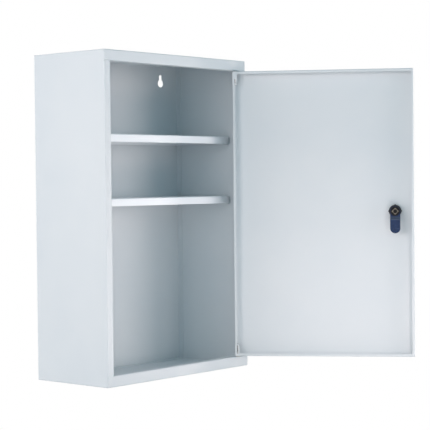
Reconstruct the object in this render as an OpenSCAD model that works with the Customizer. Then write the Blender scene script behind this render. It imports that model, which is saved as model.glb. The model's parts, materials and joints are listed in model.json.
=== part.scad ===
// Lockable wall cabinet of folded steel sheet, shown with its door open.
// The origin is the middle of the underside, +Z is up, the front faces -Y and
// the back faces +Y.  All lengths are in millimetres and angles in degrees.

/* [Case] */
// Outside width of the case
case_w = 300; // [240:5:400]
// Outside depth of the case
case_d = 140; // [110:5:220]
// Outside height of the case
case_h = 460; // [420:5:700]
// Thickness of the case and door sheet
sheet_t = 0.8; // [0.6:0.1:1.2]
// Outside radius of every fold
bend_r = 1.6; // [1.4:0.1:2.6]

/* [Front and rear frame] */
// Height of the top and bottom rails at the front
rail_h = 15.5; // [12:0.5:24]
// Depth of the ledge folded in behind each rail
rail_ledge = 12; // [9:0.5:20]
// Width of the upright stiles at the front
stile_w = 12; // [10:0.5:18]
// Width of the flanges folded round the rear edge
rear_flange = 10; // [8:0.5:13]
// Width of the welding flanges under the top and over the bottom
weld_flange = 8; // [5:0.5:14]
// Depth of the flanges folded forward round the back panel
back_flange = 9; // [6:0.5:14]

/* [Wall keyholes] */
// Distance from the side of the case to a keyhole
keyhole_inset = 38.5; // [30:0.5:60]
// Distance from the top of the case to the middle of a keyhole's head
keyhole_drop = 28; // [27:0.5:60]
// Diameter of the keyhole's head
keyhole_head_d = 12; // [9:0.5:14]
// Width of the keyhole's slot
keyhole_slot_w = 6; // [4:0.5:8]
// Rise from the middle of the head to the middle of the slot's round end
keyhole_rise = 10.3; // [8:0.1:12]

/* [Shelves] */
// Height of the upper shelf's top face
upper_shelf_z = 347; // [310:1:370]
// Height of the lower shelf's top face
lower_shelf_z = 257; // [120:1:280]
// Distance from the front of the case to the shelf's front lip
shelf_setback = 29; // [22:0.5:50]
// Gap between a shelf and the side of the case
shelf_side_gap = 3.2; // [3:0.1:8]
// Gap between a shelf and the back panel
shelf_back_gap = 1; // [0.5:0.1:4]
// Height of the lip folded down round a shelf
shelf_lip = 11; // [8:0.5:20]
// Thickness of the shelf sheet
shelf_t = 0.8; // [0.6:0.1:1.2]
// Radius of a shelf's upright corners
shelf_corner_r = 4; // [3:0.5:12]

/* [Shelf ledges] */
// Width of the ledge that a shelf rests on
ledge_w = 11; // [9.5:0.5:18]
// Height of the ledge's upright leg on the side of the case
ledge_rise = 8; // [5:0.5:20]
// Thickness of the ledge
ledge_t = 1; // [0.8:0.1:1.5]
// Distance from the shelf's front lip back to the ledge's end
ledge_front = 5; // [2:0.5:12]
// Distance from the ledge's other end to the back panel
ledge_rear = 11; // [10:0.5:20]

/* [Door] */
// Depth of the door
door_t = 15; // [14:0.5:19]
// Width of the lips folded in round the door's back
door_lip = 4; // [3:0.5:6]
// Gap above and below the door
door_end_gap = 1.5; // [1.3:0.1:3]
// Gap between the door and the stile on the lock side
door_lock_gap = 3; // [2:0.1:5]
// Gap between the door and the stile on the hinge side
door_hinge_gap = 5; // [4.5:0.1:8]
// Angle at which the door stands open
open_angle = 123.4; // [0:0.2:128]

/* [Hinges] */
// Diameter of a hinge pin
pin_d = 3; // [2.5:0.1:3.2]
// Distance from the door's hinge edge to the middle of the pins
pin_edge = 3; // [2.9:0.1:4]
// Distance from the door's front face to the middle of the pins
pin_depth = 3.4; // [3.2:0.1:4]
// Running clearance round a pin, on the radius
pin_fit = 0.05; // [0.03:0.01:0.1]
// Length of a pin beyond the face of the ledge that it turns in
pin_reach = 2.5; // [2:0.1:4]
// Width of the brackets that hold the pins
bracket_w = 6.5; // [6:0.5:9]
// Thickness of the brackets
bracket_t = 0.8; // [0.6:0.1:1]
// Height of the upper bracket
upper_bracket_h = 19; // [16:0.5:26]
// Height of the lower bracket
lower_bracket_h = 17; // [17:0.5:26]
// Radius of a bracket's free corner
bracket_r = 4.5; // [2:0.5:5]
// Diameter of the collar on a pin
collar_d = 4; // [3.6:0.1:4.2]
// Length of the collar on a pin
collar_h = 2.4; // [2:0.1:3]
// Width of the tail that stands off a collar
tail_w = 1.4; // [1:0.1:1.6]
// Width of the slot that a tail stands in
tail_slot_w = 2; // [1.8:0.1:2.4]
// Height of the short slot in the upper bracket
upper_slot_h = 6; // [4:0.5:8]
// Height of the long slot in the lower bracket
lower_slot_h = 12.4; // [9.6:0.1:12.4]
// Diameter of the washer under the door
washer_d = 6; // [5:0.1:6.4]
// Height left between the washer and the door
washer_gap = 0.3; // [0.2:0.05:0.4]

/* [Lock] */
// Distance from the door's free edge to the middle of the lock
lock_inset = 27.9; // [26:0.1:45]
// Height of the lock above the door's lower edge
lock_rise = 215.5; // [60:0.5:300]
// Diameter of the lock's front flange
head_d = 22; // [19:0.5:26]
// Thickness of the lock's front flange
head_t = 2.5; // [2:0.1:4]
// Diameter of the lock's threaded body
body_d = 16; // [15:0.5:17.5]
// Width across the two flats of the threaded body
flats_w = 14.4; // [13.8:0.1:14.8]
// Length of the threaded body behind the door's front face
body_len = 11.8; // [11:0.1:12]
// Clearance round the lock in the door, on the radius
lock_fit = 0.1; // [0.05:0.05:0.3]
// Width of the stiffening plate behind the lock
plate_w = 34; // [30:0.5:44]
// Height of the stiffening plate
plate_h = 30; // [26:0.5:50]
// Thickness of the stiffening plate
plate_t = 1.2; // [0.8:0.1:2]
// Outside diameter of the lock's nut
nut_d = 18.4; // [18:0.2:20]
// Distance across the nut's four points
nut_points = 20.8; // [20.4:0.2:24]
// Thickness of the nut
nut_t = 3.5; // [2.5:0.1:4.5]

/* [Lock core] */
// Diameter of the turning plug
plug_d = 10.9; // [10.5:0.1:11.2]
// Diameter of the plug's front rim
plug_rim_d = 13; // [12:0.1:14]
// Thickness of the plug's front rim
plug_rim_t = 1.4; // [1:0.1:1.6]
// Running clearance round the plug, on the radius
plug_fit = 0.05; // [0.03:0.01:0.1]
// Side of the plug's square shank
shank_w = 6.5; // [6:0.1:6.8]
// Clearance round the shank
shank_fit = 0.1; // [0.05:0.05:0.2]
// Number of wafers in the plug
wafer_count = 4; // [2:1:4]
// Distance between neighbouring wafers
wafer_pitch = 2; // [1.6:0.1:2.1]
// Thickness of a wafer
wafer_t = 1; // [0.6:0.1:1.1]
// Width of a wafer
wafer_w = 5; // [4.6:0.1:5.4]
// Travel of the wafers into the grooves of the body
wafer_travel = 0.6; // [0.4:0.1:0.8]

/* [Cam] */
// Width of the cam
cam_w = 15; // [12:0.5:17]
// Thickness of the cam
cam_t = 2; // [1.5:0.1:2.5]
// Overlap of the locked cam behind the stile's fold
cam_catch = 1.6; // [1:0.1:4]
// Gap between the locked cam and the stile's fold
cam_gap = 0.6; // [0.4:0.1:1.2]
// Clearance of the cam over the rim of the door
cam_rim_gap = 1.4; // [1:0.1:3]
// Distance from the middle of the lock to the start of the cam's step
step_start = 8.5; // [7.8:0.1:9.5]
// Length of the cam's step
step_run = 3.5; // [2.5:0.1:6]
// Thickness of the stop washer under the cam
stop_t = 1; // [0.8:0.1:1.5]
// Diameter of the stop washer
stop_d = 17.6; // [16.6:0.2:18]
// Diameter of the round washer on the cam
disc_d = 14; // [12:0.5:14.5]
// Thickness of the round washer
disc_t = 0.8; // [0.5:0.1:1.2]
// Width of the square washer on the round one
cap_w = 7.6; // [7.4:0.1:8.4]
// Thickness of the square washer
cap_t = 0.8; // [0.5:0.1:1.2]
// Diameter of the cam screw's head
screw_head_d = 5.6; // [5:0.1:6.2]
// Height of the cam screw's head
screw_head_h = 1.8; // [1.2:0.1:2.4]
// Diameter of the cam screw's thread
screw_d = 3; // [2.5:0.1:3.5]
// Length of the cam screw under its head
screw_len = 6; // [5:0.5:6.5]

/* [Key] */
// Thickness of the key
key_t = 1.8; // [1.4:0.1:2]
// Width of the key's blade
key_blade_w = 7; // [6:0.1:7.2]
// Length of the blade inside the lock
key_blade_len = 11; // [10:0.5:12]
// Clearance round the blade in the plug
key_fit = 0.2; // [0.15:0.05:0.25]
// Diameter of the key's bow
key_bow_d = 20; // [16:0.5:26]
// Length of the neck between the lock and the bow
key_neck = 4; // [3:0.5:8]
// Diameter of the hole in the bow
key_hole_d = 5; // [3:0.5:8]

/* [Hidden] */
$fn = 64;
eps = 0.01;

// Faces of the case and of the sheet that it is folded from
side_x = case_w / 2;
inner_x = side_x - sheet_t;
front_y = -case_d / 2;
rear_y = case_d / 2;
back_y = rear_y - 2 * sheet_t;
stile_x = side_x - stile_w;
bend_mid_r = bend_r - sheet_t / 2;

// The door, closed in its opening
door_x0 = -stile_x + door_lock_gap;
door_x1 = stile_x - door_hinge_gap;
door_y1 = front_y + door_t;
door_z0 = rail_h + door_end_gap;
door_z1 = case_h - rail_h - door_end_gap;
door_in_x = door_x1 - sheet_t;
door_in_y = front_y + sheet_t;
hinge_x = door_x1 - pin_edge;
hinge_y = front_y + pin_depth;

// The lock, and what stacks up behind it on its axis
lock_x = door_x0 + lock_inset;
lock_z = door_z0 + lock_rise;
plate_y = door_in_y;
nut_y = plate_y + plate_t;
body_end_y = front_y + body_len;
stop_y = body_end_y + plug_fit;
cam_y = stop_y + stop_t;
disc_y = cam_y + cam_t;
cap_y = disc_y + disc_t;
screw_y = cap_y + cap_t;
tip_y = door_y1 + cam_rim_gap;
cam_step = tip_y - cam_y;
stile_fold_y = tip_y - cam_gap;
cam_len = lock_inset + door_lock_gap + cam_catch;
plug_front_y = front_y - head_t + plug_fit;
plug_rim_y = plug_front_y + plug_rim_t;
key_tip_y = plug_front_y + key_blade_len;
wafer_y0 = key_tip_y - 1 - (wafer_count - 1) * wafer_pitch;
groove_r = plug_d / 2 + wafer_travel + 0.4;

// ---- Shapes that repeat -------------------------------------------------

// Runs a shape drawn in Y and Z along X
module along_x(x0, x1) {
    translate([x0, 0, 0])
        rotate([90, 0, 90])
            linear_extrude(x1 - x0) children();
}

// Runs a shape drawn in X and Z along Y
module along_y(y0, y1) {
    translate([0, y1, 0])
        rotate([90, 0, 0])
            linear_extrude(y1 - y0) children();
}

// Box between two corners
module box(a, b) {
    translate(a) cube(b - a);
}

// Upright cylinder
module post(x, y, z0, z1, r) {
    translate([x, y, z0]) cylinder(h = z1 - z0, r = r);
}

// Rectangle between two corners with round corners
module round_rect(a, b, r) {
    translate([a.x + r, a.y]) square([b.x - a.x - 2 * r, b.y - a.y]);
    translate([a.x, a.y + r]) square([b.x - a.x, b.y - a.y - 2 * r]);
    for (x = [a.x + r, b.x - r], y = [a.y + r, b.y - r])
        translate([x, y]) circle(r);
}

// Box with the round edges of folded sheet
module folded_box(a, b, r) {
    intersection() {
        translate([0, 0, a.z])
            linear_extrude(b.z - a.z) round_rect([a.x, a.y], [b.x, b.y], r);
        along_x(a.x, b.x) round_rect([a.y, a.z], [b.y, b.z], r);
        along_y(a.y, b.y) round_rect([a.x, a.z], [b.x, b.z], r);
    }
}

// Section of a folded sheet.  The path runs square along the sheet's middle.
module folded_strip(path, t, r) {
    last = len(path) - 1;
    for (i = [0 : last - 1]) {
        d = (path[i + 1] - path[i]) / norm(path[i + 1] - path[i]);
        a = path[i] + (i > 0 ? r : 0) * d;
        b = path[i + 1] - (i < last - 1 ? r : 0) * d;
        w = [d.x == 0 ? t / 2 : 0, d.y == 0 ? t / 2 : 0];
        lo = [min(a.x, b.x), min(a.y, b.y)] - w;
        hi = [max(a.x, b.x), max(a.y, b.y)] + w;
        translate(lo) square(hi - lo);
    }
    for (i = [1 : last - 1]) {
        u = (path[i] - path[i - 1]) / norm(path[i] - path[i - 1]);
        v = (path[i + 1] - path[i]) / norm(path[i + 1] - path[i]);
        q = 2 * (r + t);
        translate(path[i] + r * (v - u))
            intersection() {
                difference() {
                    circle(r + t / 2);
                    circle(r - t / 2);
                }
                polygon([[0, 0], -q * v, q * (u - v), q * u]);
            }
    }
}

// ---- Case ---------------------------------------------------------------

// Outline of the whole case, which rounds off its welded corners
module case_outline() {
    folded_box([-side_x, front_y, 0], [side_x, rear_y, case_h], bend_r);
}

// Side panel on the -X side, with its stile, fold and rear flange
module side_panel() {
    mid_x = -side_x + sheet_t / 2;
    fold_x = -stile_x - sheet_t / 2;
    mid_front = front_y + sheet_t / 2;
    mid_rear = rear_y - sheet_t / 2;
    intersection() {
        union() {
            translate([0, 0, rail_h])
                linear_extrude(case_h - 2 * rail_h)
                    folded_strip([[fold_x, stile_fold_y],
                                  [fold_x, mid_front],
                                  [mid_x, mid_front],
                                  [mid_x, 0]], sheet_t, bend_mid_r);
            translate([0, 0, rear_flange])
                linear_extrude(case_h - 2 * rear_flange)
                    folded_strip([[mid_x, 0],
                                  [mid_x, mid_rear],
                                  [-side_x + rear_flange, mid_rear]],
                                 sheet_t, bend_mid_r);
            difference() {
                along_x(-side_x, -inner_x)
                    round_rect([front_y + sheet_t, sheet_t],
                               [rear_y - sheet_t, case_h - sheet_t], bend_r);
                // Room for the folds of the rails
                for (z = [rail_h - bend_r, case_h - rail_h])
                    box([-side_x - 1, front_y, z],
                        [-inner_x + 1, front_y + bend_r, z + bend_r]);
            }
            for (z = [sheet_t, case_h - 2 * sheet_t])
                box([-side_x + eps, front_y + rail_ledge + 1, z],
                    [-side_x + weld_flange, rear_y - back_flange - 2, z + sheet_t]);
        }
        case_outline();
    }
}

module left_side_panel() {
    color("gainsboro") side_panel();
}

module right_side_panel() {
    color("gainsboro") mirror([1, 0, 0]) side_panel();
}

// Top with its front rail, ledge and rear flange
module cover_panel() {
    top_z = case_h - sheet_t / 2;
    ledge_z = case_h - rail_h + sheet_t / 2;
    mid_front = front_y + sheet_t / 2;
    mid_rear = rear_y - sheet_t / 2;
    intersection() {
        difference() {
            along_x(-side_x, side_x)
                folded_strip([[front_y + rail_ledge, ledge_z],
                              [mid_front, ledge_z],
                              [mid_front, top_z],
                              [mid_rear, top_z],
                              [mid_rear, case_h - rear_flange]],
                             sheet_t, bend_mid_r);
            // The ledge ends between the side panels
            for (x = [-side_x - 1, inner_x])
                box([x, front_y + bend_r, case_h - rail_h - 1],
                    [x + sheet_t + 1, 0, case_h - rail_h + bend_r]);
            post(hinge_x, hinge_y, case_h - rail_h - 1,
                 case_h - rail_h + sheet_t + 1, pin_d / 2 + pin_fit);
        }
        case_outline();
    }
}

module top_panel() {
    color("gainsboro") cover_panel();
}

module bottom_panel() {
    color("gainsboro")
        translate([0, 0, case_h]) mirror([0, 0, 1]) cover_panel();
}

// Back with flanges folded forward inside the case, and two keyholes
module back_panel() {
    front = back_y + sheet_t - back_flange;
    head_z = case_h - keyhole_drop;
    color("gainsboro") difference() {
        folded_box([-inner_x, front - bend_r, sheet_t],
                   [inner_x, back_y + sheet_t, case_h - sheet_t], bend_r);
        folded_box([-inner_x + sheet_t, front - 3 * bend_r, 2 * sheet_t],
                   [inner_x - sheet_t, back_y, case_h - 2 * sheet_t],
                   bend_r - sheet_t);
        box([-side_x, front - 2 * bend_r, -1], [side_x, front, case_h + 1]);
        for (x = [-side_x + keyhole_inset, side_x - keyhole_inset]) {
            translate([x, back_y - 1, head_z])
                rotate([-90, 0, 0])
                    cylinder(h = sheet_t + 2, d = keyhole_head_d);
            translate([x, back_y - 1, head_z + keyhole_rise])
                rotate([-90, 0, 0])
                    cylinder(h = sheet_t + 2, d = keyhole_slot_w);
            box([x - keyhole_slot_w / 2, back_y - 1, head_z],
                [x + keyhole_slot_w / 2, back_y + sheet_t + 1,
                 head_z + keyhole_rise]);
        }
    }
}

// ---- Shelves and their ledges -------------------------------------------

// Outline of a shelf, shrunk by w all round, with its top at z
module shelf_outline(w, z, depth) {
    x = inner_x - shelf_side_gap - w;
    y0 = front_y + shelf_setback + w;
    y1 = back_y - shelf_back_gap - w;
    r = bend_r - w;
    intersection() {
        translate([0, 0, z - w - depth])
            linear_extrude(depth)
                round_rect([-x, y0], [x, y1], shelf_corner_r - w);
        along_x(-x, x)
            round_rect([y0, z - w - 2 * depth], [y1, z - w], r);
        along_y(y0, y1)
            round_rect([-x, z - w - 2 * depth], [x, z - w], r);
    }
}

// Loose shelf, a sheet with a lip folded down all round
module shelf(z) {
    difference() {
        shelf_outline(0, z, shelf_lip);
        shelf_outline(shelf_t, z, shelf_lip + 1);
    }
}

module upper_shelf() {
    color("white") shelf(upper_shelf_z);
}

module lower_shelf() {
    color("white") shelf(lower_shelf_z);
}

// Angle strip welded to the side panel on the +X side, under a shelf's lip
module shelf_ledge(z) {
    y0 = front_y + shelf_setback + ledge_front;
    y1 = back_y - ledge_rear;
    seat = z - shelf_lip;
    box([inner_x - ledge_w, y0, seat - ledge_t], [inner_x, y1, seat]);
    box([inner_x - ledge_t, y0, seat - ledge_t],
        [inner_x, y1, seat - ledge_t + ledge_rise]);
}

module upper_left_shelf_ledge() {
    color("lightgray") mirror([1, 0, 0]) shelf_ledge(upper_shelf_z);
}

module upper_right_shelf_ledge() {
    color("lightgray") shelf_ledge(upper_shelf_z);
}

module lower_left_shelf_ledge() {
    color("lightgray") mirror([1, 0, 0]) shelf_ledge(lower_shelf_z);
}

module lower_right_shelf_ledge() {
    color("lightgray") shelf_ledge(lower_shelf_z);
}

// ---- Door ---------------------------------------------------------------

// Turns what belongs to the door from closed to open about the hinge pins
module open_door() {
    translate([hinge_x, hinge_y, 0])
        rotate([0, 0, open_angle])
            translate([-hinge_x, -hinge_y, 0]) children();
}

// Hole for the lock's body with its two flats
module lock_hole(y0, y1) {
    intersection() {
        translate([lock_x, y0, lock_z])
            rotate([-90, 0, 0])
                cylinder(h = y1 - y0, d = body_d + 2 * lock_fit);
        box([lock_x - flats_w / 2 - lock_fit, y0, lock_z - body_d],
            [lock_x + flats_w / 2 + lock_fit, y1, lock_z + body_d]);
    }
}

// Hollow inside of the door pan, up to y1
module door_room(y1) {
    folded_box([door_x0 + sheet_t, door_in_y, door_z0 + sheet_t],
               [door_in_x, y1, door_z1 - sheet_t], bend_r - sheet_t);
}

// Door pan with flanges and lips on its four sides
module door_panel() {
    lip = door_lip;
    notch_x = door_in_x - bracket_w;
    color("whitesmoke") open_door() difference() {
        folded_box([door_x0, front_y, door_z0], [door_x1, door_y1, door_z1],
                   bend_r);
        door_room(door_y1 - sheet_t);
        box([door_x0 + lip, door_y1 - 2 * sheet_t, door_z0 + lip],
            [door_x1 - lip, door_y1 + 1, door_z1 - lip]);
        lock_hole(front_y - 1, door_in_y + 1);
        post(hinge_x, hinge_y, door_z0 - 1, door_z0 + sheet_t + 1,
             pin_d / 2 + pin_fit);
        post(hinge_x, hinge_y, door_z1 - sheet_t - 1, door_z1 + 1,
             pin_d / 2 + pin_fit);
        // The lips stop where the hinge brackets fill the corners
        box([notch_x - 0.1, door_y1 - bend_r, door_z0 + sheet_t],
            [door_in_x, door_y1 + 1, door_z0 + sheet_t + lower_bracket_h + 0.1]);
        box([notch_x - 0.1, door_y1 - bend_r,
             door_z1 - sheet_t - upper_bracket_h - 0.1],
            [door_in_x, door_y1 + 1, door_z1 - sheet_t]);
    }
}

// Plate welded behind the skin round the lock
module lock_stiffening_plate() {
    color("white") open_door() difference() {
        box([lock_x - plate_w / 2, plate_y, lock_z - plate_h / 2],
            [lock_x + plate_w / 2, nut_y, lock_z + plate_h / 2]);
        lock_hole(plate_y - 1, nut_y + 1);
    }
}

// ---- Hinges -------------------------------------------------------------

// The tail stands to the side of the pin, towards the middle of the door
tail_x = hinge_x - collar_d / 2 + tail_w / 2;
lower_tail_z = door_z0 + sheet_t + bracket_t + 2.2;
upper_tail_z = door_z1 - sheet_t - upper_bracket_h + bracket_t + 3.2;

// Bracket standing on a flange at z = 0, with a tab at each end for the pin
// and a slot in its face for the tail
module hinge_bracket(h, slot_z, slot_h) {
    x0 = door_in_x - bracket_w;
    x1 = door_in_x;
    y1 = door_y1;
    difference() {
        union() {
            along_y(y1 - bracket_t, y1) {
                translate([x0, 0]) square([bracket_w, h - bracket_r]);
                translate([x0 + bracket_r, 0])
                    square([bracket_w - bracket_r, h]);
                translate([x0 + bracket_r, h - bracket_r]) circle(bracket_r);
            }
            box([x0, door_in_y, 0], [x1, y1, bracket_t]);
            box([x0 + bracket_r / 2, door_in_y, h - 2 * bracket_t],
                [x1, y1 - eps, h - bracket_t]);
        }
        post(hinge_x, hinge_y, -1, h + 1, pin_d / 2 + pin_fit);
        box([tail_x - tail_slot_w / 2, y1 - bracket_t - 1, slot_z],
            [tail_x + tail_slot_w / 2, y1 + 1, slot_z + slot_h]);
    }
}

// Pin from z0 to z1 with a collar and a tail on it
module hinge_pin(z0, z1, collar_z) {
    post(hinge_x, hinge_y, z0, z1, pin_d / 2);
    post(hinge_x, hinge_y, collar_z, collar_z + collar_h, collar_d / 2);
    box([tail_x - tail_w / 2, hinge_y, collar_z + 0.2],
        [tail_x + tail_w / 2, door_y1 - bracket_t / 2, collar_z + collar_h - 0.2]);
}

module upper_hinge_bracket() {
    top = door_z1 - sheet_t;
    color("silver") open_door() intersection() {
        translate([0, 0, top]) mirror([0, 0, 1])
            hinge_bracket(upper_bracket_h,
                          top - upper_tail_z - collar_h / 2 - upper_slot_h / 2,
                          upper_slot_h);
        door_room(door_y1 + 2 * bend_r);
    }
}

module lower_hinge_bracket() {
    base = door_z0 + sheet_t;
    color("silver") open_door() intersection() {
        translate([0, 0, base])
            hinge_bracket(lower_bracket_h, lower_tail_z - base - 0.2,
                          lower_slot_h);
        door_room(door_y1 + 2 * bend_r);
    }
}

module upper_hinge_pin() {
    color("dimgray") open_door()
        hinge_pin(door_z1 - sheet_t - upper_bracket_h + 0.2,
                  case_h - rail_h + pin_reach, upper_tail_z);
}

module lower_hinge_pin() {
    color("dimgray") open_door()
        hinge_pin(rail_h - pin_reach,
                  door_z0 + sheet_t + lower_bracket_h, lower_tail_z);
}

// Coil that holds the lower pin down, drawn as a sleeve
module lower_hinge_spring() {
    z0 = lower_tail_z + collar_h;
    z1 = door_z0 + sheet_t + lower_bracket_h - 2 * bracket_t;
    color("gray") open_door() difference() {
        post(hinge_x, hinge_y, z0, z1, collar_d / 2);
        post(hinge_x, hinge_y, z0 - 1, z1 + 1, pin_d / 2 + pin_fit);
    }
}

module lower_hinge_washer() {
    color("white") difference() {
        post(hinge_x, hinge_y, rail_h, door_z0 - washer_gap, washer_d / 2);
        post(hinge_x, hinge_y, rail_h - 1, door_z0 + 1, pin_d / 2 + pin_fit);
    }
}

// ---- Lock ---------------------------------------------------------------

// Cylinder on the lock's axis
module barrel(y0, y1, r) {
    translate([lock_x, y0, lock_z])
        rotate([-90, 0, 0]) cylinder(h = y1 - y0, r = r);
}

// Square bar on the lock's axis, standing on its corner
module square_bar(y0, y1, w) {
    translate([lock_x, 0, lock_z])
        rotate([0, 45, 0])
            box([-w / 2, y0, -w / 2], [w / 2, y1, w / 2]);
}

// Box on the lock's axis, w wide and h high
module core_box(y0, y1, w, h) {
    box([lock_x - w / 2, y0, lock_z - h / 2],
        [lock_x + w / 2, y1, lock_z + h / 2]);
}

lug_w = 3;
lug_depth = 1;
lug_in_r = body_d / 2 - 1.8;

// Front flange and threaded body, with grooves for the wafers and a step at
// the rear that stops the lug after a quarter turn
module lock_housing() {
    bore_r = plug_d / 2 + plug_fit;
    q = body_d;
    stop = lug_w / 2 + 0.2;
    color("silver") open_door() difference() {
        union() {
            barrel(front_y - head_t, front_y, head_d / 2);
            intersection() {
                barrel(front_y - eps, body_end_y, body_d / 2);
                core_box(front_y - eps, body_end_y, flats_w, 2 * body_d);
            }
        }
        barrel(front_y - head_t - 1, body_end_y + 1, bore_r);
        barrel(front_y - head_t - 1, plug_rim_y + plug_fit,
               plug_rim_d / 2 + plug_fit);
        for (s = [[wafer_w + 0.4, 2 * groove_r], [2 * groove_r, wafer_w + 0.4]])
            core_box(wafer_y0 - wafer_t, key_tip_y, s.x, s.y);
        difference() {
            translate([lock_x, 0, lock_z])
                along_y(body_end_y - lug_depth - 0.2, body_end_y + 1)
                    polygon([[-stop, 0], [-stop, q], [q, q],
                             [q, -stop], [0, -stop], [0, 0]]);
            barrel(front_y, body_end_y + 2, lug_in_r - 0.2);
        }
    }
}

// Ring nut with four points
module lock_nut() {
    side = nut_points / sqrt(2);
    color("black") open_door() difference() {
        union() {
            barrel(nut_y, nut_y + nut_t, nut_d / 2);
            square_bar(nut_y, nut_y + nut_t, side);
        }
        barrel(nut_y - 1, nut_y + nut_t + 1, body_d / 2);
    }
}

// Plug with its keyway, wafer slots, square shank and tapped hole
module lock_plug() {
    slot_t = wafer_t + 0.2;
    color("silver") open_door() difference() {
        union() {
            barrel(plug_front_y, plug_rim_y, plug_rim_d / 2);
            barrel(plug_front_y, body_end_y, plug_d / 2);
            square_bar(body_end_y - 1, cap_y - 0.1, shank_w);
        }
        core_box(plug_front_y - 1, key_tip_y + key_fit, key_t + 2 * key_fit,
                 key_blade_w + 2 * key_fit);
        for (i = [0 : wafer_count - 1])
            core_box(wafer_y0 + i * wafer_pitch - slot_t / 2,
                     wafer_y0 + i * wafer_pitch + slot_t / 2,
                     wafer_w + 0.2, plug_d + 1);
        barrel(screw_y - screw_len - 0.3, screw_y, screw_d / 2);
    }
}

// Wafers that lie across the plug, each with a window for the blade
module lock_wafers() {
    color("goldenrod") open_door()
        for (i = [0 : wafer_count - 1]) {
            y0 = wafer_y0 + i * wafer_pitch - wafer_t / 2;
            difference() {
                intersection() {
                    core_box(y0, y0 + wafer_t, wafer_w, plug_d);
                    barrel(y0, y0 + wafer_t, plug_d / 2 - 0.1);
                }
                core_box(y0 - 1, y0 + wafer_t + 1, key_t + 2 * key_fit + 0.2,
                         key_blade_w + 2 * key_fit + 0.4);
            }
        }
}

// Stop washer with the lug that runs in the housing's step
module lock_stop_washer() {
    color("black") open_door() difference() {
        union() {
            barrel(stop_y, cam_y, stop_d / 2);
            box([lock_x - lug_w / 2, stop_y - lug_depth, lock_z + lug_in_r],
                [lock_x + lug_w / 2, cam_y - eps, lock_z + body_d / 2]);
        }
        square_bar(stop_y - 2, cam_y + 1, shank_w + 2 * shank_fit);
    }
}

// Stepped cam, hanging down as it does when unlocked
module lock_cam() {
    r = cam_w / 2;
    drop = cam_len - r;
    far = cam_len + 1;
    color("midnightblue") open_door() difference() {
        intersection() {
            translate([lock_x, 0, lock_z])
                along_x(-r - 1, r + 1)
                    polygon([[cam_y, r + 1], [disc_y, r + 1],
                             [disc_y, -step_start],
                             [disc_y + cam_step, -step_start - step_run],
                             [disc_y + cam_step, -far],
                             [cam_y + cam_step, -far],
                             [cam_y + cam_step, -step_start - step_run],
                             [cam_y, -step_start]]);
            translate([lock_x, 0, lock_z])
                along_y(cam_y - 1, disc_y + cam_step + 1) {
                    circle(r);
                    translate([-r, -drop]) square([cam_w, drop]);
                    translate([0, -drop]) circle(r);
                }
        }
        square_bar(cam_y - 1, disc_y + 1, shank_w + 2 * shank_fit);
    }
}

// Round washer on the shank, between the cam and the square washer
module cam_disc_washer() {
    color("black") open_door() difference() {
        barrel(disc_y, cap_y, disc_d / 2);
        square_bar(disc_y - 1, cap_y + 1, shank_w + 2 * shank_fit);
    }
}

// Square washer that holds the round washer and the cam on the shank
module cam_cap_washer() {
    color("silver") open_door() difference() {
        square_bar(cap_y, screw_y, cap_w);
        barrel(cap_y - 1, screw_y + 1, screw_d / 2);
    }
}

// Cross-recessed screw that clamps the square washer
module cam_screw() {
    top = screw_y + screw_head_h;
    color("dimgray") open_door() difference() {
        union() {
            barrel(screw_y, top, screw_head_d / 2);
            barrel(screw_y - screw_len, top - eps, screw_d / 2);
        }
        core_box(top - 1, top + 1, 0.8, 3.4);
        core_box(top - 1, top + 1, 3.4, 0.8);
    }
}

// Flat key standing in the lock
module key() {
    bow_y = front_y - head_t - key_neck - key_bow_d / 2;
    r = key_bow_d / 2;
    color("lightsteelblue") open_door()
        translate([lock_x, 0, lock_z])
            difference() {
                along_x(-key_t / 2, key_t / 2) {
                    translate([bow_y, -key_blade_w / 2])
                        square([key_tip_y - 0.2 - bow_y, key_blade_w]);
                    translate([bow_y, 0]) circle(r);
                }
                translate([-key_t, bow_y - r / 2, 0])
                    rotate([0, 90, 0])
                        cylinder(h = 2 * key_t, d = key_hole_d);
            }
}

left_side_panel();
right_side_panel();
top_panel();
bottom_panel();
back_panel();
upper_shelf();
lower_shelf();
upper_left_shelf_ledge();
upper_right_shelf_ledge();
lower_left_shelf_ledge();
lower_right_shelf_ledge();
door_panel();
lock_stiffening_plate();
upper_hinge_bracket();
lower_hinge_bracket();
upper_hinge_pin();
lower_hinge_pin();
lower_hinge_spring();
lower_hinge_washer();
lock_housing();
lock_nut();
lock_plug();
lock_wafers();
lock_stop_washer();
lock_cam();
cam_disc_washer();
cam_cap_washer();
cam_screw();
key();
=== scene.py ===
"""Looks of the lockable medicine cabinet: a case of folded sheet steel, its door standing open."""
import json
import math

import bmesh
import bpy
from mathutils import Matrix, Vector


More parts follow.
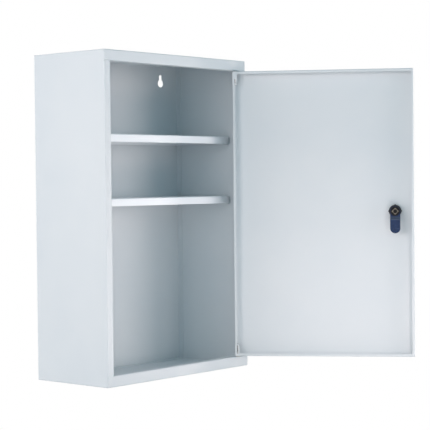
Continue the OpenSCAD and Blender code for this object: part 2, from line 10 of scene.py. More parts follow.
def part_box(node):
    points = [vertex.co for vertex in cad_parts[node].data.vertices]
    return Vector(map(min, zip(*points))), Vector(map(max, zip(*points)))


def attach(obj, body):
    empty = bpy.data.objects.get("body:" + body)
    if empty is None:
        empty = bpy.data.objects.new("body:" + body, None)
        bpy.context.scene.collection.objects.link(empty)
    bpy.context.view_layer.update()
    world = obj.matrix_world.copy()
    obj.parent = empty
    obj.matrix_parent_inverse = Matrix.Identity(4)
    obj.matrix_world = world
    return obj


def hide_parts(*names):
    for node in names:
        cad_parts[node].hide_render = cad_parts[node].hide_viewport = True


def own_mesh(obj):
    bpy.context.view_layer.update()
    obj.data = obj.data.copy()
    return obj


# ---- Frame -------------------------------------------------------------------
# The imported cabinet: middle of the underside at the origin, front towards -Y,
# hinges on the +X side.
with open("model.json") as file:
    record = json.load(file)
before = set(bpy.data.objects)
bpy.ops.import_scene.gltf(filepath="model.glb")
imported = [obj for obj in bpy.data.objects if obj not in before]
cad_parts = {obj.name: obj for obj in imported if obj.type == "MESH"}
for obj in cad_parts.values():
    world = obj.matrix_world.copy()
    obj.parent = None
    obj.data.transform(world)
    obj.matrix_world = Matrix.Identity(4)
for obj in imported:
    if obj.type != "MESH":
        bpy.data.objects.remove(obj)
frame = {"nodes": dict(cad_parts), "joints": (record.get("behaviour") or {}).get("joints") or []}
nodes = frame["nodes"]
joints = {joint["name"]: joint for joint in frame["joints"]}
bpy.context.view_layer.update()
MM = 0.001

# ---- Camera ------------------------------------------------------------------
# A short telephoto a good two metres off the open front, level with the upper
# half of the case, so that upright edges stay almost parallel.
camera_at = Vector((-1504.665, -1422.165, 279.535)) * MM
camera_azimuth = math.radians(49.468)
camera_down = math.radians(1.372)
camera_roll = math.radians(-0.598)
forward = Vector((math.sin(camera_azimuth) * math.cos(camera_down),
                  math.cos(camera_azimuth) * math.cos(camera_down),
                  -math.sin(camera_down)))
across = Vector((math.cos(camera_azimuth), -math.sin(camera_azimuth), 0))
upward = across.cross(forward)
rolled_across = across * math.cos(camera_roll) + upward * math.sin(camera_roll)
rolled_upward = upward * math.cos(camera_roll) - across * math.sin(camera_roll)
lens = bpy.data.cameras.new("camera")
lens.sensor_width = 36
lens.lens = 118.19
lens.clip_start = 0.05
lens.clip_end = 60
camera = bpy.data.objects.new("camera", lens)
camera.matrix_world = Matrix.Translation(camera_at) @ Matrix(
    (rolled_across, rolled_upward, -forward)).transposed().to_4x4()
bpy.context.scene.collection.objects.link(camera)
bpy.context.scene.camera = camera


# ---- Floor -------------------------------------------------------------------
# Matt white studio sweep. The camera, and what mirrors it, sees plain white,
# and the diffuse light sees a real white floor.
def linear(hex_colour):
    """Turns an sRGB hex colour into the linear values that the shader takes."""
    parts = [int(hex_colour[i:i + 2], 16) / 255 for i in (1, 3, 5)]
    return tuple(c / 12.92 if c <= 0.04045 else ((c + 0.055) / 1.055) ** 2.4
                 for c in parts) + (1.0,)


def add(tree, kind, settings=None, links=None):
    """Adds a node, sets its sockets or properties and links its inputs."""
    made = tree.nodes.new(kind)
    for name, value in (settings or {}).items():
        if isinstance(name, int) or name in made.inputs:
            made.inputs[name].default_value = value
        else:
            setattr(made, name, value)
    for name, source in (links or {}).items():
        tree.links.new(source, made.inputs[name])
    return made


def start_material(name):
    """Makes an empty material and returns it with its tree and output."""
    made = bpy.data.materials.new(name)
    made.use_nodes = True
    made.node_tree.nodes.clear()
    return made, made.node_tree, add(made.node_tree, "ShaderNodeOutputMaterial")


def white_to_camera(tree, surface, plain):
    """Mixes a plain white into a surface for the camera, mirrors and glass."""
    path = add(tree, "ShaderNodeLightPath")
    seen = add(tree, "ShaderNodeMath", {"operation": "MAXIMUM"},
               {0: path.outputs["Is Camera Ray"], 1: path.outputs["Is Glossy Ray"]})
    seen = add(tree, "ShaderNodeMath", {"operation": "MAXIMUM"},
               {0: seen.outputs[0], 1: path.outputs["Is Transmission Ray"]})
    return add(tree, "ShaderNodeMixShader", {},
               {0: seen.outputs[0], 1: surface.outputs[0], 2: plain.outputs[0]})


floor_size = 12.0
floor_gap = 0.6  # keeps the floor clear of the underside
sweep, tree, out = start_material("matt_white_floor")
floor_diffuse = add(tree, "ShaderNodeBsdfDiffuse", {"Color": linear("#e8e8e8")})
floor_white = add(tree, "ShaderNodeEmission", {"Color": (1, 1, 1, 1), "Strength": 1.0})
mixed = white_to_camera(tree, floor_diffuse, floor_white)
tree.links.new(mixed.outputs[0], out.inputs["Surface"])
floor_mesh = bpy.data.meshes.new("floor")
half = floor_size / 2
floor_mesh.from_pydata([(-half, -half, 0), (half, -half, 0), (half, half, 0), (-half, half, 0)],
                       [], [(0, 1, 2, 3)])
floor = bpy.data.objects.new("floor", floor_mesh)
floor.location.z = -floor_gap * MM
floor.data.materials.append(sweep)
bpy.context.scene.collection.objects.link(floor)

# ---- Light -------------------------------------------------------------------
# Soft boxes on low stands in warm white: a large and a small one in front to the
# right, four on the left for the side of the case and the door, a small one low
# in front, a card on the floor and two fills behind. The room is a dim cool sky,
# brightest near the horizon.
sky = bpy.data.worlds.new("studio")
bpy.context.scene.world = sky
sky.use_nodes = True
tree = sky.node_tree
tree.nodes.clear()
out = add(tree, "ShaderNodeOutputWorld")
place = add(tree, "ShaderNodeTexCoord")
height = add(tree, "ShaderNodeSeparateXYZ", {}, {0: place.outputs["Generated"]})
horizon_strength, zenith_strength = 0.66, 0.2
band_start, band_end = 0.17, 0.87  # sines of the elevations, 10 and 60 degrees
band = add(tree, "ShaderNodeMapRange",
           {1: band_start, 2: band_end, 3: horizon_strength, 4: zenith_strength},
           {"Value": height.outputs["Z"]})
sky_glow = add(tree, "ShaderNodeBackground", {"Color": (0.54, 0.86, 1.0, 1)},
               {"Strength": band.outputs["Result"]})
sky_white = add(tree, "ShaderNodeBackground", {"Color": (1, 1, 1, 1), "Strength": 1.0})
mixed = white_to_camera(tree, sky_glow, sky_white)
tree.links.new(mixed.outputs[0], out.inputs["Surface"])
bpy.context.scene.view_settings.view_transform = "Standard"
warm_white = (1.0, 0.835, 0.80)


def soft_box(name, place, target, size, power):
    """Puts up a square warm white area lamp that faces the target."""
    lamp = bpy.data.lights.new(name, "AREA")
    lamp.shape = "SQUARE"
    lamp.size = size
    lamp.energy = power
    lamp.color = warm_white
    made = bpy.data.objects.new(name, lamp)
    made.location = place
    made.rotation_euler = (Vector(target) - Vector(place)).to_track_quat("-Z", "Y").to_euler()
    bpy.context.scene.collection.objects.link(made)


cabinet_middle = (0.05, -0.05, 0.23)
lock_at = (0.27, -0.24, 0.2325)
soft_box("front_right_soft_box", (0.874, -2.09, 0.23), cabinet_middle, 1.0, 18.4)
soft_box("far_right_lamp", (1.56, -1.62, 0.25), cabinet_middle, 0.2, 6.62)
soft_box("left_soft_box", (-2.112, 0.216, 0.536), cabinet_middle, 1.0, 10.6)
soft_box("left_lamp", (-2.104, 0.119, 0.2), lock_at, 0.45, 2.9)
soft_box("left_front_lamp", (-1.5, -0.4, 0.5), cabinet_middle, 0.5, 4.55)
soft_box("near_left_lamp", (-1.3, 0.12, 0.6), cabinet_middle, 0.5, 1.86)
soft_box("low_front_lamp", (0.05, -0.5, 0.03), (0.0, 0.0, 0.03), 0.15, 0.517)
soft_box("floor_card", (-0.05, -0.28, 0.003), (-0.05, -0.281, 1.0), 0.3, 0.155)
soft_box("high_back_fill", (1.3, 1.95, 1.7), cabinet_middle, 1.0, 12.0)
soft_box("low_back_fill", (1.7, 2.4, 0.6), cabinet_middle, 1.0, 24.0)


# ---- Case --------------------------------------------------------------------
# Sides, top, bottom and back folded from 0.8 mm steel sheet and spot welded,
# then powder coated as one in a smooth light grey.
def scale_for(size_mm):
    """Texture scale at which one cell of a pattern measures size_mm."""
    return 1000 / size_mm


def powder_coat(name, colour, shade, roughness):
    """Smooth powder coat on sheet steel. The eye gets an even pale colour with
    a half gloss, which the faint orange peel of the melt breaks up."""
    made, tree, out = start_material(name)
    place = add(tree, "ShaderNodeTexCoord")
    # Film thickness drifts over a hand's width, and with it the shade
    cloud = add(tree, "ShaderNodeTexNoise", {"Scale": scale_for(90), "Detail": 2.0},
                {"Vector": place.outputs["Object"]})
    tint = add(tree, "ShaderNodeValToRGB", {}, {"Fac": cloud.outputs["Fac"]})
    tint.color_ramp.elements[0].position = 0.3
    tint.color_ramp.elements[0].color = linear(shade)
    tint.color_ramp.elements[1].position = 0.7
    tint.color_ramp.elements[1].color = linear(colour)
    # Gloss differs a little between thick and thin film
    gloss = add(tree, "ShaderNodeMapRange", {3: roughness - 0.04, 4: roughness + 0.06},
                {"Value": cloud.outputs["Fac"]})
    # Orange peel: waves 1.6 mm across and a few microns high
    peel = add(tree, "ShaderNodeTexNoise", {"Scale": scale_for(1.6), "Detail": 1.0},
               {"Vector": place.outputs["Object"]})
    bump = add(tree, "ShaderNodeBump", {"Strength": 0.25, "Distance": 0.00002},
               {"Height": peel.outputs["Fac"]})
    coat = add(tree, "ShaderNodeBsdfPrincipled", {"IOR": 1.5},
               {"Base Color": tint.outputs["Color"], "Roughness": gloss.outputs["Result"],
                "Normal": bump.outputs["Normal"]})
    tree.links.new(coat.outputs[0], out.inputs["Surface"])
    return made


def dress(node, material):
    """Gives a CAD node its material."""
    slots = nodes[node].data.materials
    slots.clear()
    slots.append(material)


light_grey_powder_coat = powder_coat("light_grey_powder_coat", "#dbe2e5", "#d7dfe3", 0.42)
for panel in ("left_side_panel", "right_side_panel", "top_panel", "bottom_panel", "back_panel"):
    dress(panel, light_grey_powder_coat)

# ---- Shelves and ledges --------------------------------------------------------
# Two loose shelves, pans with a lip folded down all round, on angle strips that are welded to the
# sides. The shelves are given a whiter coat than the case.
white_powder_coat = powder_coat("white_powder_coat", "#f3f9fc", "#f0f6fa", 0.4)
for shelf in ("upper_shelf", "lower_shelf"):
    dress(shelf, white_powder_coat)
for height in ("upper", "lower"):
    for side in ("left", "right"):
        dress(f"{height}_{side}_shelf_ledge", light_grey_powder_coat)

# ---- Door pan ------------------------------------------------------------------
# One sheet folded into a pan with lips, a thicker plate welded behind the lock
# and a bracket in each hinge corner, coated with the case.
for part in ("door_panel", "lock_stiffening_plate", "upper_hinge_bracket",
             "lower_hinge_bracket"):
    dress(part, light_grey_powder_coat)


# ---- Hinge pins ----------------------------------------------------------------
# Turned steel pins with a collar and a tail, bright zinc plated in a barrel.
def plated_metal(name, colour, stain, roughness, grain_mm, relief):
    """Plated or polished metal. The eye gets a soft mirror whose tint and gloss
    drift over the plating, with the fine grain of the tool or the barrel."""
    made, tree, out = start_material(name)
    place = add(tree, "ShaderNodeTexCoord")
    # Plating tint drifts over a few millimetres
    drift = add(tree, "ShaderNodeTexNoise", {"Scale": scale_for(4), "Detail": 3.0},
                {"Vector": place.outputs["Object"]})
    tint = add(tree, "ShaderNodeValToRGB", {}, {"Fac": drift.outputs["Fac"]})
    tint.color_ramp.elements[0].position = 0.35
    tint.color_ramp.elements[0].color = linear(stain)
    tint.color_ramp.elements[1].position = 0.65
    tint.color_ramp.elements[1].color = linear(colour)
    gloss = add(tree, "ShaderNodeMapRange", {3: roughness * 0.8, 4: roughness * 1.3},
                {"Value": drift.outputs["Fac"]})
    grain = add(tree, "ShaderNodeTexNoise", {"Scale": scale_for(grain_mm), "Detail": 4.0},
                {"Vector": place.outputs["Object"]})
    bump = add(tree, "ShaderNodeBump", {"Strength": 0.4, "Distance": relief},
               {"Height": grain.outputs["Fac"]})
    base = add(tree, "ShaderNodeBsdfPrincipled", {"Metallic": 1.0},
               {"Base Color": tint.outputs["Color"], "Roughness": gloss.outputs["Result"],
                "Normal": bump.outputs["Normal"]})
    tree.links.new(base.outputs[0], out.inputs["Surface"])
    return made


bright_zinc_plate = plated_metal("bright_zinc_plate", "#b4b8bb", "#a3a7a6", 0.34, 0.4, 0.00001)
for pin in ("upper_hinge_pin", "lower_hinge_pin"):
    dress(pin, bright_zinc_plate)

# ---- Lower hinge spring ----------------------------------------------------------
# Coil of drawn spring wire round the lower pin, between its collar and the bracket's upper tab.
# The real coil shortens when the pin is drawn up to free the door; here it is one rigid piece that
# rides with the door.
drawn_spring_wire = plated_metal("drawn_spring_wire", "#8d8f92", "#77787a", 0.3, 0.25, 0.00001)


def finish_piece(name, shape, place, material, body, node, crease=32):
    """Turns a shape drawn in millimetres into a piece that stands for its node."""
    bmesh.ops.remove_doubles(shape, verts=shape.verts, dist=0.001)
    bmesh.ops.dissolve_degenerate(shape, edges=shape.edges, dist=0.0005)
    bmesh.ops.recalc_face_normals(shape, faces=shape.faces)
    mesh = bpy.data.meshes.new(name)
    shape.to_mesh(mesh)
    shape.free()
    mesh.transform(place @ Matrix.Scale(MM, 4))
    for face in mesh.polygons:
        face.use_smooth = True
    mesh.set_sharp_from_angle(angle=math.radians(crease))
    mesh.materials.append(material)
    piece = bpy.data.objects.new(name, mesh)
    bpy.context.scene.collection.objects.link(piece)
    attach(piece, body)
    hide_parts(node)
    return piece


def bridge(shape, rings, closed=False):
    """Joins rings of equally many vertices by quads, one ring to the next."""
    for near, far in zip(rings, rings[1:] + (rings[:1] if closed else [])):
        for i in range(len(near) - 1):
            shape.faces.new((near[i], near[i + 1], far[i + 1], far[i]))


hinge_at = Vector(joints["door_swing"]["pos_m"])
spring_low, spring_high = (corner.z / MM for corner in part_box("lower_hinge_spring"))
wire_r = 0.21
coil_r = 1.78
dead_turns = 1.0  # closed turns at each end
live_turns = 5.5
turns = live_turns + 2 * dead_turns
steps_a_turn = 28
sides = 10
travel = spring_high - spring_low - 2 * wire_r - 4 * wire_r * dead_turns
shape = bmesh.new()
rings = []
for step in range(int(turns * steps_a_turn) + 1):
    turn = step / steps_a_turn
    closed_part = min(turn, dead_turns) + max(turn - dead_turns - live_turns, 0)
    live_part = min(max(turn - dead_turns, 0), live_turns)
    rise = closed_part * 2 * wire_r + live_part * travel / live_turns
    angle = turn * math.tau
    outward = Vector((math.cos(angle), math.sin(angle), 0))
    middle = outward * coil_r + Vector((0, 0, spring_low + wire_r + rise))
    ring = [shape.verts.new(middle + wire_r * (outward * math.cos(math.tau * i / sides)
                                               + Vector((0, 0, math.sin(math.tau * i / sides)))))
            for i in range(sides)]
    rings.append(ring + ring[:1])
bridge(shape, rings)
for end in (rings[0], rings[-1]):
    shape.faces.new(end[:-1])
on_hinge = Matrix.Translation((hinge_at.x, hinge_at.y, 0))
spring = finish_piece("spring_coil", shape, on_hinge, drawn_spring_wire, "door",
                      "lower_hinge_spring", crease=60)
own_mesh(spring)

# ---- Lower hinge washer --------------------------------------------------------
# Moulded nylon washer that the door rides on. The eye gets a milky, waxy white.
natural_nylon, tree, out = start_material("natural_nylon")
place = add(tree, "ShaderNodeTexCoord")
cloud = add(tree, "ShaderNodeTexNoise", {"Scale": scale_for(2), "Detail": 2.0},
            {"Vector": place.outputs["Object"]})
tint = add(tree, "ShaderNodeValToRGB", {}, {"Fac": cloud.outputs["Fac"]})
tint.color_ramp.elements[0].color = linear("#dcdad0")
tint.color_ramp.elements[1].color = linear("#e8e6de")
moulded = add(tree, "ShaderNodeBsdfPrincipled",
              {"Roughness": 0.45, "IOR": 1.53, "Subsurface Weight": 0.2,
               "Subsurface Scale": 0.001},
              {"Base Color": tint.outputs["Color"]})
tree.links.new(moulded.outputs[0], out.inputs["Surface"])
dress("lower_hinge_washer", natural_nylon)

# ---- Lock housing --------------------------------------------------------------
# Chromed die casting: a round flange outside the door and a threaded body with
# two flats inside it. Its rear edge has the step that stops the cam's turn.
# The lock's own frame: x across the closed door towards the hinges, y inwards
# from the door's outer face, z up, and the origin on the lock's axis.
pin_depth = 3.4  # from the door's outer face to the pins, where the joint's point lies
inward = Vector(joints["lock_turn"]["axis"]).normalized()
lock_across = inward.cross(Vector((0, 0, 1)))
lock_face_at = Vector(joints["lock_turn"]["pos_m"]) - inward * pin_depth * MM
in_lock = Matrix.Translation(lock_face_at) @ Matrix(
    (lock_across, inward, Vector((0, 0, 1)))).transposed().to_4x4()

chromed_zinc = plated_metal("chromed_zinc_casting", "#ced1d4", "#c2c5c9", 0.12, 1.2, 0.000006)
flange_front, flange_r, flange_round = -2.5, 11.0, 0.7
rim_floor, rim_r, rim_chamfer = -1.0, 6.55, 0.25
edge_break = 0.15
bore_r = 5.5
body_end, flat_x = 11.8, 7.2
crest_r, root_r, pitch = 7.95, 7.45, 1.0
thread_profile = ((0.0, root_r), (0.2, root_r), (0.48, crest_r), (0.68, crest_r))
thread_start, thread_end = 0.5, 11.4
step_y, step_r = 10.6, 6.0
step_from, step_to = math.radians(-14), math.radians(104)
columns = 84
blur = math.radians(0.3)
angles = sorted([math.tau * i / columns for i in range(columns + 1)]
                + [step_to - blur, step_to + blur,
                   math.tau + step_from - blur, math.tau + step_from + blur])


def in_step(angle):
    """True where the rear edge is cut back for the stop washer's lug."""
    return angle < step_to or angle > math.tau + step_from


def housing_ring(y, r):
    """One ring of the housing, with the flats and the rear step cut into it."""
    ring = []
    for angle in angles:
        near_y = min(y, step_y) if r >= step_r and in_step(angle) else y
        x = r * math.cos(angle)
        if y > 0 and r > step_r:
            x = max(-flat_x, min(flat_x, x))
        ring.append(shape.verts.new((x, near_y, r * math.sin(angle))))
    return ring


def thread_ring(turn, part, r):
    """One ring along the thread, which rises a pitch a turn and ends flush."""
    ring = []
    for angle in angles:
        y = thread_start + (turn + part + angle / math.tau - 1) * pitch
        ends = step_y if in_step(angle) else thread_end
        near_r = r if thread_start < y < min(ends, thread_end) else root_r
        y = max(thread_start, min(y, thread_end, ends))
        x = max(-flat_x, min(flat_x, near_r * math.cos(angle)))
        ring.append(shape.verts.new((x, y, near_r * math.sin(angle))))
    return ring


shape = bmesh.new()
rings = [housing_ring(rim_floor, bore_r), housing_ring(rim_floor, rim_r),
         housing_ring(flange_front + rim_chamfer, rim_r),
         housing_ring(flange_front, rim_r + rim_chamfer)]
for i in range(5):
    turn = math.pi / 2 * i / 4
    rings.append(housing_ring(flange_front + flange_round * (1 - math.cos(turn)),
                              flange_r - flange_round * (1 - math.sin(turn))))
rings += [housing_ring(-edge_break, flange_r), housing_ring(0, flange_r - edge_break),
          housing_ring(0, root_r), housing_ring(0.001, root_r)]
for turn in range(int((thread_end - thread_start) / pitch) + 2):
    for part, r in thread_profile:
        rings.append(thread_ring(turn, part, r))
rings += [housing_ring(body_end - edge_break, root_r),
          housing_ring(body_end, root_r - edge_break),
          housing_ring(body_end, step_r), housing_ring(body_end, step_r - 0.01),
          housing_ring(body_end, bore_r)]
bridge(shape, rings, closed=True)
housing = finish_piece("threaded_lock_housing", shape, in_lock, chromed_zinc,
                       "door", "lock_housing")


def cut_out(piece, cutter_shape, place, crease=32):
    """Cuts a shape drawn in millimetres out of a finished piece."""
    bmesh.ops.recalc_face_normals(cutter_shape, faces=cutter_shape.faces)
    cutter_mesh = bpy.data.meshes.new("cutter")
    cutter_shape.to_mesh(cutter_mesh)
    cutter_shape.free()
    cutter_mesh.transform(place @ Matrix.Scale(MM, 4))
    cutter = bpy.data.objects.new("cutter", cutter_mesh)
    bpy.context.scene.collection.objects.link(cutter)
    cut = piece.modifiers.new("cut", "BOOLEAN")
    cut.operation = "DIFFERENCE"
    cut.solver = "EXACT"
    cut.object = cutter
    bpy.context.view_layer.update()
    seen = piece.evaluated_get(bpy.context.evaluated_depsgraph_get())
    cut_mesh = bpy.data.meshes.new_from_object(seen)
    piece.modifiers.clear()
    piece.data = cut_mesh
    cut_mesh.set_sharp_from_angle(angle=math.radians(crease))
    bpy.data.objects.remove(cutter)
    bpy.data.meshes.remove(cutter_mesh)


def prism(shape, outline, to_3d, ends):
    """Draws a solid between two scaled copies of an outline at two heights."""
    rings = [[shape.verts.new(to_3d(u * scale, v * scale, height)) for u, v in outline]
             for height, scale in ends]
    bridge(shape, [ring + ring[:1] for ring in rings])
    for ring in rings:
        shape.faces.new(ring)


def cross_outline(half, reach):
    """Points of an upright cross with arms of equal width and reach."""
    return [(half, half), (half, reach), (-half, reach), (-half, half), (-reach, half),
            (-reach, -half), (-half, -half), (-half, -reach), (half, -reach), (half, -half),
            (reach, -half), (reach, half)]


# Grooves in the bore, which the wafers spring into once the key is out
wafer_groove_half, wafer_groove_reach = 2.7, 6.45
wafer_groove_ends = (0.35, 8.35)
shape = bmesh.new()
prism(shape, cross_outline(wafer_groove_half, wafer_groove_reach), lambda x, z, y: (x, y, z),
      [(end, 1.0) for end in wafer_groove_ends])
cut_out(housing, shape, in_lock)


# ---- Lock nut ------------------------------------------------------------------
# Pressed ring nut with four points to grip it by, in black zinc.
def flat_plate(shape, loops, thickness, rounding, to_3d, steps=3):
    """Draws a plate: an outline, run anticlockwise, with holes, run clockwise.
    Its edges are rounded. to_3d places a point of the plate at its height."""
    profile = [(rounding * (1 - math.sin(math.pi / 2 * i / steps)),
                rounding * (1 - math.cos(math.pi / 2 * i / steps))) for i in range(steps + 1)]
    profile.insert(0, (rounding + 0.06, 0.0))  # keeps the rounding's shading off the flat
    profile += [(inset, thickness - height) for inset, height in reversed(profile)]
    lowest, highest = [], []
    for loop in loops:
        inner = []
        for i, point in enumerate(loop):
            before = (Vector(point) - Vector(loop[i - 1])).normalized()
            after = (Vector(loop[(i + 1) % len(loop)]) - Vector(point)).normalized()
            left = Vector((-before.y - after.y, before.x + after.x))
            left /= max(left.length_squared / 2, 0.2)  # a mitre, kept short at sharp corners
            inner.append(left)
        rings = [[shape.verts.new(to_3d(*(Vector(p) + n * inset), height))
                  for p, n in zip(loop, inner)] for inset, height in profile]
        bridge(shape, [ring + ring[:1] for ring in rings])
        lowest.append(rings[0])
        highest.append(rings[-1])
    for level in (lowest, highest):
        edges = [shape.edges.get((ring[i - 1], ring[i])) for ring in level
                 for i in range(len(ring))]
        bmesh.ops.triangle_fill(shape, edges=edges, use_beauty=True)


def arc(middle, radius, start, end, count):
    """Points along an arc, with both of its ends, by angles in degrees."""
    return [(middle[0] + radius * math.cos(math.radians(start + (end - start) * i / count)),
             middle[1] + radius * math.sin(math.radians(start + (end - start) * i / count)))
            for i in range(count + 1)]


def ring_outline(radius, count):
    """Points of a hole, run clockwise."""
    return arc((0, 0), radius, 0, -360, count)[:-1]


def square_outline(side, corner_r, clockwise=False):
    """Points of a square standing on its corner, with round corners."""
    reach = side / math.sqrt(2) - corner_r * math.sqrt(2)
    points = []
    for quarter in range(4):
        turn = 90 * quarter
        middle = (reach * math.cos(math.radians(turn)), reach * math.sin(math.radians(turn)))
        points += arc(middle, corner_r, turn - 45, turn + 45, 4)
    return points[::-1] if clockwise else points


def dark_plate(name, colour, sheen, wear_and_highlight_colour, roughness, specular, highlight_band_from=None, highlight_band_to=None):
    """Dark plated or lacquered steel. The eye gets a deep colour with a soft gloss, a cloud of
    lighter sheen and paler metal where it has been handled. When two heights are given, a pale
    band between them is painted highlight, standing for the light that a sloped face catches."""
    made, tree, out = start_material(name)
    place = add(tree, "ShaderNodeTexCoord")
    cloud = add(tree, "ShaderNodeTexNoise", {"Scale": scale_for(3), "Detail": 3.0},
                {"Vector": place.outputs["Object"]})
    tint = add(tree, "ShaderNodeValToRGB", {}, {"Fac": cloud.outputs["Fac"]})
    tint.color_ramp.elements[0].position = 0.35
    tint.color_ramp.elements[0].color = linear(colour)
    tint.color_ramp.elements[1].position = 0.7
    tint.color_ramp.elements[1].color = linear(sheen)
    # Edges and points have lost some of the film
    bare = add(tree, "ShaderNodeNewGeometry")
    wear_and_highlight_mask = add(tree, "ShaderNodeMapRange", {1: 0.52, 2: 0.6},
               {"Value": bare.outputs["Pointiness"]})
    # Painted highlight: a paler band between two heights stands for the light that a sloped face
    # catches
    if highlight_band_from is not None:
        height = add(tree, "ShaderNodeSeparateXYZ", {}, {0: place.outputs["Object"]})
        band = add(tree, "ShaderNodeMapRange", {1: highlight_band_from, 2: highlight_band_to, 3: 0.0, 4: math.pi},
                   {"Value": height.outputs["Z"]})
        painted_highlight_band = add(tree, "ShaderNodeMath", {"operation": "SINE"}, {0: band.outputs["Result"]})
        wear_and_highlight_mask = add(tree, "ShaderNodeMath", {"operation": "MAXIMUM"},
                   {0: painted_highlight_band.outputs[0], 1: wear_and_highlight_mask.outputs["Result"]})
    # Worn edges and the painted highlight band both take the pale colour
    wear_and_highlight_tint = add(tree, "ShaderNodeMix", {"data_type": "RGBA"}, {"Factor": wear_and_highlight_mask.outputs[0]})
    tree.links.new(tint.outputs["Color"], wear_and_highlight_tint.inputs[6])
    wear_and_highlight_tint.inputs[7].default_value = linear(wear_and_highlight_colour)
    gloss = add(tree, "ShaderNodeMapRange", {3: roughness * 0.8, 4: roughness * 1.25},
                {"Value": cloud.outputs["Fac"]})
    grit = add(tree, "ShaderNodeTexNoise", {"Scale": scale_for(0.3), "Detail": 3.0},
               {"Vector": place.outputs["Object"]})
    bump = add(tree, "ShaderNodeBump", {"Strength": 0.3, "Distance": 0.00001},
               {"Height": grit.outputs["Fac"]})
    film = add(tree, "ShaderNodeBsdfPrincipled", {"Specular IOR Level": specular},
               {"Base Color": wear_and_highlight_tint.outputs[2], "Roughness": gloss.outputs["Result"],
                "Normal": bump.outputs["Normal"]})
    tree.links.new(film.outputs[0], out.inputs["Surface"])
    return made


black_zinc_plate = dark_plate("black_zinc_plate", "#0d0e10", "#17191c", "#34363a", 0.38, 0.14)
nut_low, nut_high = 2.0, 5.5
nut_r, nut_points_r, nut_hole_r, nut_rounding = 9.2, 10.4, 8.0, 0.45
nut_step = 3  # degrees between the points of its outline
nut_outline = []
for degrees in range(0, 360, nut_step):
    angle = math.radians(degrees + nut_step / 2)
    square_r = nut_points_r / (abs(math.cos(angle)) + abs(math.sin(angle)))
    r = max(nut_r, square_r)
    nut_outline.append((r * math.cos(angle), r * math.sin(angle)))
shape = bmesh.new()
flat_plate(shape, [nut_outline, ring_outline(nut_hole_r, 72)], nut_high - nut_low,
           nut_rounding, lambda x, z, height: (x, nut_low + height, z))
finish_piece("four_point_ring_nut", shape, in_lock, black_zinc_plate, "door",
             "lock_nut")

# ---- Lock core -------------------------------------------------------------------
# Chromed plug with its keyway, stamped brass wafers inside it, and the black
# stop washer whose lug runs in the housing's step.
dress("lock_plug", chromed_zinc)
stamped_brass = plated_metal("stamped_brass", "#c8a862", "#b4924c", 0.28, 0.3, 0.00001)
dress("lock_wafers", stamped_brass)
dress("lock_stop_washer", black_zinc_plate)

# ---- Cam -------------------------------------------------------------------------
# Pressed steel cam with a step, on the plug's square shank, dipped in dark blue lacquer. The paler
# band across the step is painted highlight: the light that the step's sloped face catches is
# painted into its colour.
# Heights of the painted highlight band across the step, measured from the lock's axis
painted_highlight_from, painted_highlight_to = -13.5, -7.5
# Its pale colour serves both the worn edges and the painted highlight on the step
blue_lacquered_steel = dark_plate("blue_lacquered_steel", "#1a2d4f", "#22375c", "#4b586d",
                                  0.24, 0.3, lock_face_at.z + painted_highlight_from * MM,
                                  lock_face_at.z + painted_highlight_to * MM)
cam_low, cam_thickness = 12.85, 2.0
cam_r, cam_drop, cam_rounding = 7.5, 25.0, 0.4
joggle_top, joggle_bottom, joggle_rise = -8.5, -12.0, 3.55
shank_hole, shank_hole_r = 6.7, 0.3
cam_outline = (arc((0, 0), cam_r, 0, 180, 36) + arc((0, -cam_drop), cam_r, 180, 360, 36))
shape = bmesh.new()
flat_plate(shape, [cam_outline, square_outline(shank_hole, shank_hole_r, clockwise=True)],
           cam_thickness, cam_rounding, lambda x, z, height: (x, cam_low + height, z))
cuts, cut_margin = 12, 0.2
for i in range(cuts + 1):
    level = joggle_top + cut_margin + (joggle_bottom - joggle_top - 2 * cut_margin) * i / cuts
    bmesh.ops.bisect_plane(shape, geom=shape.verts[:] + shape.edges[:] + shape.faces[:],
                           plane_co=(0, 0, level), plane_no=(0, 0, 1))
for vertex in shape.verts:
    part = min(max((joggle_top - vertex.co.z) / (joggle_top - joggle_bottom), 0), 1)
    vertex.co.y += joggle_rise * part * part * (3 - 2 * part)
finish_piece("joggled_cam", shape, in_lock, blue_lacquered_steel,
             "lock_core", "lock_cam", crease=40)

# ---- Cam washers and screw -------------------------------------------------------
# A round black washer on the cam, a square one in worn zinc on top of it, and the
# black pan-head screw with a cross recess that clamps them to the shank.
disc_low, washer_thickness, disc_r, disc_rounding = cam_low + cam_thickness, 0.8, 7.0, 0.2
shape = bmesh.new()
flat_plate(shape, [ring_outline(disc_r, 64)[::-1],
                   square_outline(shank_hole, shank_hole_r, clockwise=True)],
           washer_thickness, disc_rounding, lambda x, z, height: (x, disc_low + height, z))
finish_piece("round_cam_washer", shape, in_lock, black_zinc_plate, "lock_core",
             "cam_disc_washer")
cap_low, cap_side, cap_corner_r = disc_low + washer_thickness, 7.6, 0.5
cap_hole_r, cap_rounding = 1.6, 0.25
shape = bmesh.new()
flat_plate(shape, [square_outline(cap_side, cap_corner_r), ring_outline(cap_hole_r, 32)],
           washer_thickness, cap_rounding, lambda x, z, height: (x, cap_low + height, z))
worn_zinc_plate = plated_metal("worn_zinc_plate", "#7d7a72", "#67645e", 0.42, 0.4, 0.00001)
finish_piece("square_cap_washer", shape, in_lock, worn_zinc_plate,
             "lock_core", "cam_cap_washer")

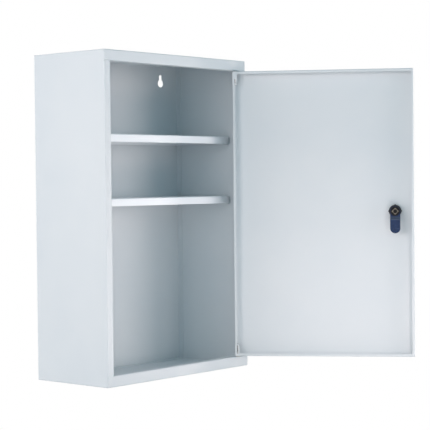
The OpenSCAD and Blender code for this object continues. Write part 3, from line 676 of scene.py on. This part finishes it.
screw_low, screw_r = cap_low + washer_thickness, 2.8
screw_high = screw_low + 1.8
shank_r, shank_end, shank_chamfer = 1.5, 10.45, 0.4
screw_chamfer, screw_sides = 0.1, 48
dome_start, dome_steps = 0.75, 6
dome = [(screw_r * math.cos(t), screw_low + dome_start
         + (screw_high - screw_low - dome_start) * math.sin(t))
        for t in (math.pi / 2 * i / dome_steps for i in range(dome_steps))]
screw_profile = ([(0.001, shank_end), (shank_r - shank_chamfer, shank_end),
                  (shank_r, shank_end + shank_chamfer), (shank_r, screw_low),
                  (screw_r - screw_chamfer, screw_low), (screw_r, screw_low + screw_chamfer)]
                 + dome + [(0.001, screw_high)])
shape = bmesh.new()
rings = []
for r, y in screw_profile:
    ring = [shape.verts.new((r * math.cos(math.tau * i / screw_sides), y,
                             r * math.sin(math.tau * i / screw_sides)))
            for i in range(screw_sides)]
    rings.append(ring + ring[:1])
bridge(shape, rings)
screw = finish_piece("pan_head_cam_screw", shape, in_lock, black_zinc_plate,
                     "lock_core", "cam_screw")
recess_half, recess_reach, recess_depth = 0.45, 1.75, 1.0
recess_margin, mouth_scale, floor_scale = 0.2, 1.1, 0.5  # it narrows towards its floor
shape = bmesh.new()
prism(shape, cross_outline(recess_half, recess_reach), lambda x, z, y: (x, y, z),
      ((screw_high + recess_margin, mouth_scale), (screw_high - recess_depth, floor_scale)))
cut_out(screw, shape, in_lock)

# ---- Key -------------------------------------------------------------------------
# Flat nickel-plated brass key standing in the lock, with a round bow, a milled
# groove on each face of the blade and bits cut along both of its edges.
nickel_plated_brass = plated_metal("nickel_plated_brass", "#c6c3ba", "#b7b3a8", 0.2, 0.5,
                                   0.000008)
key_half, key_tip = 3.5, 8.35
key_thickness, key_rounding = 1.8, 0.18
bow_at, bow_r = -16.5, 10.0
ring_hole_at, ring_hole_r = -21.5, 2.5
bits_at = (1.55, 3.55, 5.55)
upper_bits = (0.9, 0.4, 1.2)
lower_bits = (0.5, 1.1, 0.3)
bit_mouth_half, bit_floor_half = 0.8, 0.3
tip_length, tip_half = 1.6, 1.2
bow_opening = math.degrees(math.asin(key_half / bow_r))
lower_edge = []
upper_edge = []
for at, low, high in zip(bits_at, lower_bits, upper_bits):
    lower_edge += [(at - bit_mouth_half, -key_half), (at - bit_floor_half, low - key_half),
                   (at + bit_floor_half, low - key_half), (at + bit_mouth_half, -key_half)]
    upper_edge += [(at - bit_mouth_half, key_half), (at - bit_floor_half, key_half - high),
                   (at + bit_floor_half, key_half - high), (at + bit_mouth_half, key_half)]
key_outline = (lower_edge + [(key_tip - tip_length, -key_half), (key_tip, -tip_half),
                             (key_tip, tip_half), (key_tip - tip_length, key_half)]
               + upper_edge[::-1]
               + arc((bow_at, 0), bow_r, bow_opening, 360 - bow_opening, 56))
key_hole = [(ring_hole_at + y, z) for y, z in ring_outline(ring_hole_r, 40)]
shape = bmesh.new()
flat_plate(shape, [key_outline, key_hole], key_thickness, key_rounding,
           lambda y, z, height: (height - key_thickness / 2, y, z))
key = finish_piece("cut_key", shape, in_lock, nickel_plated_brass, "key",
                   "key")
groove_half, groove_depth = 0.7, 0.5
groove_start, groove_end = -5.0, key_tip + 1
for face in (-1, 1):
    shape = bmesh.new()
    low, high = sorted((face * (key_thickness / 2 - groove_depth), face * key_thickness))
    prism(shape, [(groove_start, -groove_half), (groove_end, -groove_half),
                  (groove_end, groove_half), (groove_start, groove_half)],
          lambda y, z, height: (height, y, z), ((low, 1.0), (high, 1.0)))
    cut_out(key, shape, in_lock)
